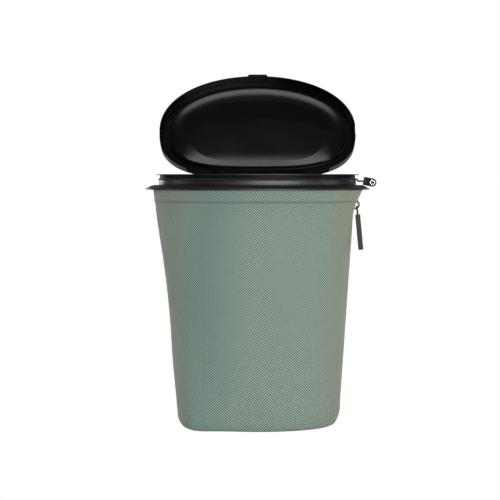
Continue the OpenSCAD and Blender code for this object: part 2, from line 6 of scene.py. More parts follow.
import bmesh
import bpy
import numpy as np
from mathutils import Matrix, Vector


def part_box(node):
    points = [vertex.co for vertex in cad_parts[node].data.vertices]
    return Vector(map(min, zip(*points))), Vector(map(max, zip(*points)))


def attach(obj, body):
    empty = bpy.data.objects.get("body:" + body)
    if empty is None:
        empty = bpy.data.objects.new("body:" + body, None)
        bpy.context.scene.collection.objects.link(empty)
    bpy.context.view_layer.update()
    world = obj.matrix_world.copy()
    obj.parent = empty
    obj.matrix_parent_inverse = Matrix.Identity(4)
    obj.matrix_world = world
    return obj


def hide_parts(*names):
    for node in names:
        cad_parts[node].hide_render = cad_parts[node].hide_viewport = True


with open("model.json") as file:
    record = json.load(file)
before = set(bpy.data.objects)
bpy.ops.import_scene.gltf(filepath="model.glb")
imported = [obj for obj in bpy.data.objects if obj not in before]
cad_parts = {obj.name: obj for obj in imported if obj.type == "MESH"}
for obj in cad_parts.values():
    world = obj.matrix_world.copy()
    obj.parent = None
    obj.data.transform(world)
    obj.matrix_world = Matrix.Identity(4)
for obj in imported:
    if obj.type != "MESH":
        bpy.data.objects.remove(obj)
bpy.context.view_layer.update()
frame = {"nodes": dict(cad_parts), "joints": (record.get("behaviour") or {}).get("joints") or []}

bl_info = {
    "name": "Litter disposal pail",
    "version": (1, 0, 0),
    "blender": (4, 5, 0),
    "location": "View3D > Sidebar > Pail",
    "description": "Moulded collar and lid, zipped fabric cover, elastic and zip of a litter disposal pail",
    "category": "Object",
}

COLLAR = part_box("collar_ring")
JOINTS = {j["name"]: j for j in frame["joints"]}
MM = 0.001


# Sizes and colours that a user would change

class PailSizes(bpy.types.PropertyGroup):
    lip_half: bpy.props.FloatProperty(
        name="Lip half width", description="Half the width over the collar's top lip",
        default=(COLLAR[1][0] - COLLAR[0][0]) / 2, unit="LENGTH")
    lip_front: bpy.props.FloatProperty(
        name="Lip front depth", description="Depth of the lip in front of its widest line",
        default=-COLLAR[0][1], unit="LENGTH")
    lip_back: bpy.props.FloatProperty(
        name="Lip back depth", description="Depth of the lip behind its widest line",
        default=56 * MM, unit="LENGTH")
    lip_height: bpy.props.FloatProperty(
        name="Lip height", description="Height of the lip above the floor",
        default=COLLAR[1][2], unit="LENGTH")
    edge_round: bpy.props.FloatProperty(
        name="Edge round", description="Radius of the small rounds on moulded edges",
        default=0.35 * MM, unit="LENGTH")
    weave_pitch: bpy.props.FloatProperty(
        name="Weave pitch", description="Spacing of the floats in the cover's weave",
        default=2.98 * MM, unit="LENGTH")
    slack: bpy.props.FloatProperty(
        name="Cover slack", description="Depth of the cover's soft waves",
        default=0.9 * MM, unit="LENGTH")
    camera_distance: bpy.props.FloatProperty(
        name="Camera distance", description="Distance of the camera in front of the widest line",
        default=1.5, unit="LENGTH")


class PailColours(bpy.types.PropertyGroup):
    moulding: bpy.props.FloatVectorProperty(
        name="Moulding", description="Colour of the black mouldings",
        default=(0.0052, 0.0054, 0.0054), subtype="COLOR")
    cloth: bpy.props.FloatVectorProperty(
        name="Cloth", description="Mean colour of the woven cover",
        default=(0.238, 0.305, 0.256), subtype="COLOR")
    cloth_warm: bpy.props.FloatVectorProperty(
        name="Warm yarn", description="Warmer colour towards the cover's sides",
        default=(0.262, 0.302, 0.236), subtype="COLOR")
    # Painted shade: the darker, cooler tone that the cloth takes over its left third.
    cloth_cool: bpy.props.FloatVectorProperty(
        name="Cool side shade", description="Cooler colour that drifts through the cloth",
        default=(0.185, 0.278, 0.243), subtype="COLOR")
    grip: bpy.props.FloatVectorProperty(
        name="Grip", description="Colour of the zip's rubber grip",
        default=(0.040, 0.040, 0.039), subtype="COLOR")


def sizes():
    return bpy.context.scene.pail_sizes


def colours():
    return bpy.context.scene.pail_colours


# Shader maths

class Wire:
    """A socket's value in a material. Sums on it add Math nodes."""

    def __init__(self, recipe, socket):
        self.recipe = recipe
        self.socket = socket

    def sum(self, operation, *others):
        return self.recipe.node("ShaderNodeMath", {"operation": operation}, self, *others)

    def __add__(self, other):
        return self.sum("ADD", other)

    def __mul__(self, other):
        return self.sum("MULTIPLY", other)

    def __sub__(self, other):
        return self.sum("SUBTRACT", other)

    def __rsub__(self, other):
        return self.recipe.node("ShaderNodeMath", {"operation": "SUBTRACT"}, other, self)

    def sin(self):
        return self.sum("SINE")

    def most(self, other):
        return self.sum("MAXIMUM", other)

    def least(self, other):
        return self.sum("MINIMUM", other)

    def size(self):
        return self.sum("ABSOLUTE")


class Recipe:
    """A node material with one Principled shader."""

    def __init__(self, name, **constants):
        self.material = bpy.data.materials.new(name)
        self.material.use_nodes = True
        self.tree = self.material.node_tree
        self.shader = self.tree.nodes["Principled BSDF"]
        for key, value in constants.items():
            self.shader.inputs[key.replace("_", " ")].default_value = value

    def node(self, kind, settings, *values, out=0, **named):
        """Adds a node: its settings, then values or wires for its sockets in order or by name."""
        node = self.tree.nodes.new(kind)
        for key, value in settings.items():
            if key == "stops":
                self.set_stops(node, value)
            else:
                setattr(node, key, value)
        for index, value in enumerate(values):
            self.join(node.inputs[index], value)
        for key, value in named.items():
            self.join(node.inputs[key.replace("_", " ")], value)
        return Wire(self, node.outputs[out])

    def set_stops(self, node, stops):
        ramp = node.color_ramp
        while len(ramp.elements) < len(stops):
            ramp.elements.new(0.5)
        for element, (place, colour) in zip(ramp.elements, stops):
            element.position = place
            element.color = colour

    def join(self, socket, value):
        if isinstance(value, Wire):
            self.tree.links.new(value.socket, socket)
        else:
            socket.default_value = value

    def place(self):
        """Where a point lies on the object."""
        return self.node("ShaderNodeTexCoord", {}, out=3)

    def split(self, vector):
        """The three parts of a vector."""
        node = self.node("ShaderNodeSeparateXYZ", {}, vector).socket.node
        return [Wire(self, socket) for socket in node.outputs]

    def uv(self):
        return self.split(self.node("ShaderNodeUVMap", {"uv_map": "cloth"}))[:2]

    def noise(self, scale, detail=3.0, rough=0.5):
        return self.node(
            "ShaderNodeTexNoise", {}, Vector=self.place(), Scale=scale, Detail=detail, Roughness=rough)

    def blend(self, share, first, second, how="MIX"):
        """Mixes two colours by a share."""
        node = self.tree.nodes.new("ShaderNodeMix")
        node.data_type = "RGBA"
        node.blend_type = how
        self.join(node.inputs[0], share)
        self.join(node.inputs[6], first)
        self.join(node.inputs[7], second)
        return Wire(self, node.outputs[2])

    def bump(self, height, depth, strength=1.0):
        self.feed("Normal", self.node("ShaderNodeBump", {}, Height=height, Distance=depth, Strength=strength))

    def feed(self, name, value):
        self.join(self.shader.inputs[name], value)


def rgba(colour, level=1.0):
    return tuple(c * level for c in colour) + (1.0,)


MATERIALS = {}


def finish_of(name, maker):
    """Keeps one material for each finish."""
    if name not in MATERIALS:
        MATERIALS[name] = maker()
    return MATERIALS[name]


def satin_moulding(name, rough, coat, level=1.0, shine=0.42):
    """Black moulded plastic: a fine spark-eroded grain, faint flow marks and rubbed patches.

    level darkens or lightens the black, and shine is the strength of its plain reflection."""
    r = Recipe(name, Coat_Roughness=0.22, Specular_IOR_Level=shine)
    rubbed = r.noise(14.0, 4.0)
    flow = r.noise(45.0, 3.0)
    fine = r.noise(2600.0, 2.0)
    black = colours().moulding
    r.feed("Base Color", r.blend(rubbed, rgba(black, 0.85 * level), rgba(black, 1.3 * level)))
    r.feed("Roughness", rubbed * 0.12 + flow * 0.06 + (rough - 0.09))
    r.feed("Coat Weight", rubbed * 0.1 + coat)
    r.bump(fine + flow * 0.4, 0.03 * MM)
    return r.material


def two_tone(name, grain, dark, light, rough, depth, **constants):
    """A finish whose colour, roughness and relief follow one noise.

    grain is its scale and detail, rough the least roughness and how much the noise adds."""
    r = Recipe(name, **constants)
    noise = r.noise(*grain)
    least, more = rough
    r.feed("Base Color", r.blend(noise, dark, light))
    r.feed("Roughness", noise * more + least)
    r.bump(noise, depth)
    return r.material


def woven_cover():
    """Woven cloth: floats on a lozenge grid with painted shade in the hollows between them, slow drifts of
    colour with painted shade over the left third, and a painted shadow along the hem seam.
    """
    r = Recipe("woven_cover", Specular_IOR_Level=0.18, Sheen_Weight=0.25, Sheen_Roughness=0.45)
    u, v = r.uv()
    turns = 2 * math.pi / sizes().weave_pitch
    wander = r.noise(70.0, 2.0) * 0.9
    lift = (u * turns + wander).sin() * (v * turns + wander * 0.7).sin() * 0.5 + 0.5
    yarn = r.noise(1400.0, 2.0)
    slub = r.noise(9.0, 3.0)
    x, _, z = r.split(r.place())
    warm, mean, cool_side_shade = (rgba(c) for c in (colours().cloth_warm, colours().cloth, colours().cloth_cool))
    # Painted shade: by its place across the cover the colour turns darker and cooler over the left third,
    # where the cloth turns away from the light, and warmer at both sides.
    side_shade_place = x * (1 / COVER_WIDTH) + 0.5 + (r.noise(5.0, 2.0, rough=0.4) - 0.5) * 0.25
    tone_with_side_shade = r.node("ShaderNodeValToRGB", {"stops": (
        (0.06, warm), (0.24, cool_side_shade), (0.42, mean), (0.76, mean), (0.93, warm))}, side_shade_place)
    # Painted light and shade on the weave: the floats' tops are lightened and the hollows between them
    # darkened.
    weave_shade = r.blend(lift, rgba((0.20, 0.23, 0.21)), rgba((1.84, 1.80, 1.82)))
    fleck = r.blend(yarn * 0.30 + slub * 0.12, rgba((0.88, 0.88, 0.88)), rgba((1.22, 1.22, 1.18)))
    shade = r.blend(1.0, r.blend(1.0, tone_with_side_shade, weave_shade, "MULTIPLY"), fleck, "MULTIPLY")
    # Painted shadow: a dark line along the seam under the hem, where the fold shades the cloth.
    crease = r.node("ShaderNodeMapRange", {}, (z - HEM_FOOT).size(), 0.5 * MM, 1.3 * MM, 0.6, 1.0)
    r.feed("Base Color", r.blend(crease, rgba((0.05, 0.065, 0.055)), shade))
    r.feed("Roughness", yarn * 0.12 + 0.80)
    r.bump(lift + yarn * 0.25, 0.32 * MM, 0.9)
    return r.material


def sewing_thread():
    """Sewing thread a little lighter than the cloth, with its twist."""
    cloth = colours().cloth
    return two_tone(
        "sewing_thread", (1800.0, 2.0), rgba(cloth, 0.75), rgba(cloth, 1.45), (0.6, 0.1), 0.05 * MM,
        Specular_IOR_Level=0.3)


def zip_cloth():
    """Fine dark ribbed tape."""
    r = Recipe("zip_cloth", Specular_IOR_Level=0.2)
    z = r.split(r.place())[2]
    rib = (z * (2 * math.pi / (0.7 * MM))).sin() * 0.5 + 0.5
    yarn = r.noise(900.0, 2.0)
    dark, light = rgba((0.035, 0.045, 0.040)), rgba((0.085, 0.105, 0.092))
    r.feed("Base Color", r.blend(rib * 0.5 + yarn * 0.5, dark, light))
    r.feed("Roughness", yarn * 0.1 + 0.78)
    r.bump(rib + yarn * 0.5, 0.12 * MM)
    return r.material


def moulded_teeth():
    """Zip teeth moulded in the cover's own green, a little worn on their faces."""
    return two_tone(
        "moulded_teeth", (260.0, 3.0), rgba((0.150, 0.195, 0.165)), rgba((0.235, 0.290, 0.250)), (0.32, 0.2),
        0.05 * MM, Specular_IOR_Level=0.45)


def black_metal():
    """Black lacquered slider with brighter worn spots."""
    r = Recipe("black_metal", Metallic=0.0, Specular_IOR_Level=0.6, Coat_Roughness=0.12)
    rub = r.noise(420.0, 3.0)
    wear = r.node("ShaderNodeMapRange", {}, rub, 0.60, 0.72, 0.0, 1.0)
    r.feed("Base Color", r.blend(wear, rgba((0.008, 0.008, 0.008)), rgba((0.055, 0.053, 0.050))))
    r.feed("Roughness", rub * 0.2 + 0.22)
    r.feed("Coat Weight", 0.5 - wear * 0.4)
    r.bump(rub, 0.03 * MM)
    return r.material


def grip_rubber():
    """Dull grey rubber with a fine pebble."""
    r = Recipe("grip_rubber", Specular_IOR_Level=0.2)
    pebble = r.noise(1500.0, 2.0)
    rubbed = r.noise(90.0, 3.0)
    r.feed("Base Color", r.blend(rubbed, rgba(colours().grip, 0.8), rgba(colours().grip, 1.35)))
    r.feed("Roughness", rubbed * 0.2 + 0.45)
    r.bump(pebble, 0.06 * MM)
    return r.material


def dull_tab():
    """Soft black tab with a matt, slightly dusty face."""
    return two_tone(
        "dull_tab", (420.0, 3.0), rgba((0.005, 0.005, 0.005)), rgba((0.014, 0.014, 0.014)), (0.6, 0.15),
        0.08 * MM, Specular_IOR_Level=0.18)


def bright_stud():
    """Polished stud ring with fine turning marks."""
    return two_tone(
        "bright_stud", (1200.0, 2.0), rgba((0.62, 0.63, 0.64)), rgba((0.86, 0.87, 0.88)), (0.12, 0.12),
        0.01 * MM, Metallic=1.0)


def braided_elastic():
    """Black braided elastic: two crossing helices of yarn along the cord's own map."""
    r = Recipe("braided_elastic", Specular_IOR_Level=0.3)
    u, v = r.uv()
    round_cord, along = u * (2 * math.pi * 4), v * (2 * math.pi / (2.2 * MM))
    braid = (round_cord + along).sin().most((round_cord - along).sin()) * 0.5 + 0.5
    r.feed("Base Color", r.blend(braid, rgba((0.006, 0.006, 0.006)), rgba((0.030, 0.030, 0.031))))
    r.feed("Roughness", 0.75 - braid * 0.15)
    r.bump(braid, 0.12 * MM)
    return r.material


def coated_liner():
    """Dark coated liner cloth with a faint ripstop grid and creases."""
    r = Recipe("coated_liner", Specular_IOR_Level=0.4, Coat_Roughness=0.35)
    x, _, z = r.split(r.place())
    turns = 2 * math.pi / (5 * MM)
    grid = (x * turns).sin().size().least((z * turns).sin().size())
    crease = r.noise(22.0, 5.0)
    r.feed("Base Color", r.blend(crease, rgba((0.040, 0.043, 0.043)), rgba((0.085, 0.090, 0.090))))
    r.feed("Roughness", crease * 0.3 + 0.35)
    r.feed("Coat Weight", crease * 0.3)
    r.bump(crease + grid * 0.1, 0.8 * MM)
    return r.material


def base_board():
    """Dull base board with a pebbled underside."""
    return two_tone(
        "base_board", (700.0, 3.0), rgba((0.010, 0.010, 0.010)), rgba((0.028, 0.028, 0.028)), (0.55, 0.2),
        0.1 * MM, Specular_IOR_Level=0.35)


# Surfaces

FRONT_POWER = 2.08
BACK_POWER = 3.0
COVER_WIDTH = 0.24
HEM_FOOT = 254.3 * MM
KNUCKLE_X = 48 * MM
HINGE = np.array(JOINTS["lid_hinge"]["pos_m"])
LID_OPEN = math.radians(JOINTS["lid_hinge"]["range_deg"][1])


def raised(v, p):
    return np.sign(v) * np.abs(v) ** p


def d_outline(t, axes, off=0.0):
    """Power curve at angles t with half axes (left, right, front, back), moved out along its normal by off."""
    left, right, front, back = axes
    c, s = np.cos(t), np.sin(t)
    n = np.where(s < 0, FRONT_POWER, BACK_POWER)
    a = np.where(c < 0, left, right)
    d = np.where(s < 0, front, back)
    x, y = a * raised(c, 2 / n), d * raised(s, 2 / n)
    nx, ny = raised(c, 2 - 2 / n) / a, raised(s, 2 - 2 / n) / d
    length = np.hypot(nx, ny)
    return x + off * nx / length, y + off * ny / length


def lip_axes():
    s = sizes()
    return s.lip_half, s.lip_half, s.lip_front, s.lip_back


def turns_of(steps):
    return np.linspace(0, 2 * math.pi, steps, endpoint=False)


def rounded(profile, radius, steps=3):
    """Rounds every corner of a closed profile [(off, z)] with an arc of points, or less on short sides."""
    points = []
    p = np.array(profile, float)
    for i in range(len(p)):
        before, here, after = p[i - 1], p[i], p[(i + 1) % len(p)]
        a, b = before - here, after - here
        la, lb = np.linalg.norm(a), np.linalg.norm(b)
        reach = min(radius, 0.45 * la, 0.45 * lb)
        start, end = here + a / la * reach, here + b / lb * reach
        for k in range(steps + 1):
            w = k / steps
            points.append((1 - w) ** 2 * start + 2 * w * (1 - w) * here + w ** 2 * end)
    return np.array(points)


def grid_faces(rows, cols, around_rows, around_cols):
    """Quads of a grid whose rows go up the outside and whose columns run anticlockwise seen from above."""
    j = np.arange(rows if around_rows else rows - 1)[:, None]
    i = np.arange(cols if around_cols else cols - 1)[None, :]
    j2, i2 = (j + 1) % rows, (i + 1) % cols
    quads = np.stack([j * cols + i, j * cols + i2, j2 * cols + i2, j2 * cols + i], axis=-1)
    return quads.reshape(-1, 4)


def capped(rows, cols):
    """Faces of a grid closed round its columns, with one face on each end."""
    last = (rows - 1) * cols
    sides = grid_faces(rows, cols, False, True).tolist()
    return sides + [list(range(cols))[::-1], [last + i for i in range(cols)]]


def prism(near, far):
    """Two matching outlines joined by sides and closed by flat ends."""
    n = len(near)
    i = np.arange(n)
    sides = [[a, b, n + b, n + a] for a, b in zip(i, np.roll(i, -1))]
    return np.concatenate([near, far]), sides + [list(i[::-1]), list(n + i)]


def make_piece(name, body, material, points, faces, smooth=40.0, uv=None):
    """A mesh object in the frame from a grid of points and its faces."""
    mesh = bpy.data.meshes.new(name)
    points = np.asarray(points, float).reshape(-1, 3)
    mesh.from_pydata(points.tolist(), [], [list(map(int, f)) for f in faces])
    if uv is not None:
        layer = mesh.uv_layers.new(name="cloth")
        corner = np.empty(len(mesh.loops), dtype=np.int32)
        mesh.loops.foreach_get("vertex_index", corner)
        layer.data.foreach_set("uv", np.asarray(uv, float).reshape(-1, 2)[corner].ravel())
    mesh.materials.append(material)
    mesh.validate()
    mesh.update()
    smooth_faces(mesh, smooth)
    piece = bpy.data.objects.new(name, mesh)
    bpy.context.scene.collection.objects.link(piece)
    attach(piece, body)
    return piece


def smooth_faces(mesh, degrees):
    """Smooth shading, with edges sharper than an angle kept crisp."""
    mesh.shade_smooth()
    mesh.set_sharp_from_angle(angle=math.radians(degrees))


def lip_ring(t, off, z):
    """Points on the lip's D outline moved out by off, at one height or at a height for each."""
    return np.column_stack([*d_outline(t, lip_axes(), off), np.broadcast_to(z, t.shape)])


def hoop(profile, steps=288):
    """A closed profile [(off, z)] carried round the D outline."""
    t = turns_of(steps)
    rows = np.array([lip_ring(t, off, z) for off, z in profile])
    return rows, grid_faces(len(profile), steps, True, True)


def opened(points):
    """Turns points of the shut lid back about the hinge axis to where the lid stands."""
    p = np.asarray(points, float).reshape(-1, 3) - HINGE
    c, s = math.cos(-LID_OPEN), math.sin(-LID_OPEN)
    return np.column_stack([p[:, 0], p[:, 1] * c - p[:, 2] * s, p[:, 1] * s + p[:, 2] * c]) + HINGE


def dress_node(name, material):
    """Gives a CAD node its finish."""
    node = frame["nodes"][name]
    node.data.materials.clear()
    node.data.materials.append(material)


# Softboxes: name, place, width and height in metres, power in watts
LAMPS = (
    ("front", (0.5, -2.3, 0.35), 1.3, 0.7, 33.0),
    ("right", (1.7, -0.9, 0.5), 0.8, 1.0, 6.0),
    ("left", (-1.9, -0.5, 0.6), 0.8, 1.0, 5.0),
    ("top", (0.0, -0.36, 1.6), 0.9, 0.5, 9.0),
    ("back left", (-1.5, 1.5, 0.6), 0.9, 0.9, 14.0),
    ("back right", (1.5, 1.5, 0.6), 0.9, 0.9, 9.0),
)
LAMPS_AIM = (0.0, 0.0, 0.2)


def white_to_camera(tree, shader, glow, output):
    """Puts a white glow in front of a shader for the rays that come straight from the camera."""
    white = tree.nodes.new(glow)
    white.inputs["Color"].default_value = rgba((1.0, 1.0, 1.0))
    mix = tree.nodes.new("ShaderNodeMixShader")
    tree.links.new(tree.nodes.new("ShaderNodeLightPath").outputs["Is Camera Ray"], mix.inputs[0])
    tree.links.new(shader.outputs[0], mix.inputs[1])
    tree.links.new(white.outputs[0], mix.inputs[2])
    tree.links.new(mix.outputs[0], tree.nodes[output].inputs["Surface"])


class PAIL_OT_stage(bpy.types.Operator):
    """Camera, floor, backdrop and soft studio light"""
    bl_idname = "pail.stage"
    bl_label = "Stage"

    def execute(self, context):
        scene = context.scene
        scene.view_settings.view_transform = "Standard"
        self.camera(scene)
        self.floor(scene)
        self.lights(scene)
        return {"FINISHED"}

    def camera(self, scene):
        """A camera level with the lip, turned down so that the lip keeps its row of the photograph."""
        frame_side, focal_pixels = 500.0, 1327.0
        lip_row, middle_column = 175.0, 257.5
        data = bpy.data.cameras.new("camera")
        data.sensor_width = 36.0
        data.lens = 36.0 * focal_pixels / frame_side
        data.clip_end = 20.0
        camera = bpy.data.objects.new("camera", data)
        pitch = math.atan((frame_side / 2 - lip_row) / focal_pixels)
        yaw = math.atan((middle_column - frame_side / 2) / focal_pixels)
        camera.rotation_euler = (math.pi / 2 - pitch, 0.0, yaw)
        camera.location = (0.0, -sizes().camera_distance, sizes().lip_height - 1 * MM)
        scene.collection.objects.link(camera)
        scene.camera = camera

    def floor(self, scene):
        """A pale floor that curves up into a backdrop, white where the camera sees it directly."""
        across = np.linspace(-4.0, 4.0, 3)
        bend = np.linspace(0, math.pi / 2, 13)
        depth = np.concatenate([[-3.0], 2.2 + 0.8 * np.sin(bend), [3.0]])
        height = np.concatenate([[0.0], 0.8 - 0.8 * np.cos(bend), [4.0]])
        grid = np.stack([
            np.repeat(across[None, :], len(depth), 0),
            np.repeat(depth[:, None], 3, 1),
            np.repeat(height[:, None], 3, 1)], axis=-1)
        mesh = bpy.data.meshes.new("backdrop")
        mesh.from_pydata(grid.reshape(-1, 3).tolist(), [], grid_faces(len(depth), 3, False, False).tolist())
        mesh.shade_smooth()
        mesh.materials.append(self.paper())
        piece = bpy.data.objects.new("backdrop", mesh)
        scene.collection.objects.link(piece)

    def paper(self):
        """Pale paper that lights the pail as grey and looks white to the camera."""
        r = Recipe("paper", Roughness=0.9, Specular_IOR_Level=0.1)
        r.feed("Base Color", r.blend(r.noise(3.0), rgba((0.60, 0.60, 0.60)), rgba((0.66, 0.66, 0.66))))
        white_to_camera(r.tree, r.shader, "ShaderNodeEmission", "Material Output")
        return r.material

    def lights(self, scene):
        """A faint world, white to the camera, and the softboxes."""
        world = bpy.data.worlds.new("studio")
        world.use_nodes = True
        air = world.node_tree.nodes["Background"]
        air.inputs["Color"].default_value = rgba((1.0, 1.0, 1.0))
        air.inputs["Strength"].default_value = 0.10
        white_to_camera(world.node_tree, air, "ShaderNodeBackground", "World Output")
        scene.world = world
        for name, place, wide, tall, power in LAMPS:
            data = bpy.data.lights.new(name, "AREA")
            data.shape = "RECTANGLE"
            data.size = wide
            data.size_y = tall
            data.energy = power
            lamp = bpy.data.objects.new(name, data)
            lamp.location = place
            aim = np.array(LAMPS_AIM) - np.array(place)
            flat = math.hypot(aim[0], aim[1])
            lamp.rotation_euler = (math.atan2(flat, -aim[2]), 0.0, math.atan2(-aim[0], aim[1]))
            scene.collection.objects.link(lamp)


class Levels:
    """Heights of the collar and the shut lid, worked out from the lip."""

    def __init__(self):
        self.lip = sizes().lip_height
        self.neck_top = self.lip - 1.2 * MM
        self.band_top = self.neck_top - 5.4 * MM
        self.flange_top = self.band_top - 5.7 * MM
        self.flange_tip = self.flange_top - 3.8 * MM
        self.flange_under = self.flange_tip - 1.4 * MM
        self.lid_under = self.lip + 0.3 * MM
        self.lid_top = self.lid_under + 2.5 * MM
        self.skirt_bottom = self.flange_top + 0.5 * MM


def tube(route, radius, normal=(0.0, 0.0, 1.0), sides=12):
    """A tube swept along a closed route that lies near one plane, with a map of turns and metres."""
    p = np.asarray(route, float)
    ahead = np.roll(p, -1, axis=0) - np.roll(p, 1, axis=0)
    ahead /= np.linalg.norm(ahead, axis=1)[:, None]
    across = np.cross(ahead, normal)
    across /= np.linalg.norm(across, axis=1)[:, None]
    up = np.cross(across, ahead)
    a = turns_of(sides)
    rings = p[:, None] + radius * (
        np.cos(a)[None, :, None] * across[:, None] + np.sin(a)[None, :, None] * up[:, None])
    along = np.concatenate([[0.0], np.cumsum(np.linalg.norm(np.diff(p, axis=0), axis=1))])
    uv = np.stack(np.meshgrid(a / (2 * math.pi), along), axis=-1)
    return rings, grid_faces(len(p), sides, True, True), uv


class PAIL_OT_collar(bpy.types.Operator):
    """Collar, flange ring and hinge ears"""
    bl_idname = "pail.collar"
    bl_label = "Collar"

    def execute(self, context):
        lv, r = Levels(), sizes().edge_round
        satin = finish_of("satin", lambda: satin_moulding("satin", 0.38, 0.04))
        collar = [
            (-8 * MM, lv.flange_top - 6 * MM), (-6 * MM, lv.flange_top - 6 * MM), (-6 * MM, lv.flange_top),
            (-3 * MM, lv.flange_top), (-3 * MM, lv.band_top), (-4 * MM, lv.band_top), (-4 * MM, lv.neck_top),
            (0.0, lv.neck_top), (0.0, lv.lip), (-8 * MM, lv.lip)]
        points, faces = hoop(rounded(collar, r))
        ring = make_piece("collar", "body", satin, points, faces)
        self.matt_groove(ring, lv)
        under, skirt_foot = lv.flange_under, lv.flange_under - 5.5 * MM
        flange = [
            (-4.7 * MM, under), (-1.4 * MM, under), (-1.4 * MM, skirt_foot), (0.4 * MM, skirt_foot),
            (0.4 * MM, under), (12 * MM, under), (12 * MM, lv.flange_tip),
            (5 * MM, lv.flange_top - 0.3 * MM), (2.9 * MM, lv.flange_top), (-4.7 * MM, lv.flange_top)]
        points, faces = hoop(rounded(flange, r))
        skirt = make_piece("flange", "body", satin, points, faces)
        self.ears(satin)
        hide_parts("collar_ring")
        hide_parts("flange_ring")
        return {"FINISHED"}

    def matt_groove(self, ring, lv):
        """The groove under the lip is left matt, and its black is darkened to half as painted shade under the
        lip.
        """
        mesh = ring.data
        # Painted shade: the groove's black is darkened to half.
        mesh.materials.append(finish_of("matt", lambda: satin_moulding("matt", 0.72, 0.0, 0.5, 0.1)))
        centre = np.empty(3 * len(mesh.polygons))
        mesh.polygons.foreach_get("center", centre)
        height = centre[2::3]
        inside = (height > lv.band_top - 0.4 * MM) & (height < lv.neck_top + 0.2 * MM)
        mesh.polygons.foreach_set("material_index", inside.astype(np.int32))

    def ears(self, material):
        """Four ears: a round about the hinge axis drawn forward into the collar's wall."""
        round_r = 3.6 * MM
        ear_centres = [s * KNUCKLE_X + e * 8.2 * MM for s in (-1, 1) for e in (-1, 1)]
        root = lip_axes()[3] - 8 * MM
        for index, x in enumerate(ear_centres):
            a = np.linspace(-math.pi / 2, math.pi / 2, 17)
            y = np.concatenate([HINGE[1] + round_r * np.cos(a), [root, root]])
            z = np.concatenate([HINGE[2] + round_r * np.sin(a), [HINGE[2] + round_r, HINGE[2] - round_r]])
            points, faces = slab(y, z, x - 2 * MM, x + 2 * MM)
            piece = make_piece(f"ear_{index}", "body", material, points, faces)
            soften(piece, 0.4 * MM)


def slab(y, z, x0, x1):
    """An outline in the YZ plane drawn out along X, with flat ends."""
    return prism(*(np.column_stack([np.full(len(y), x), y, z]) for x in (x0, x1)))


def soften(piece, width):
    bevel = piece.modifiers.new("round", "BEVEL")
    bevel.width = width
    bevel.segments = 2
    bevel.limit_method = "ANGLE"
    bevel.angle_limit = math.radians(50)


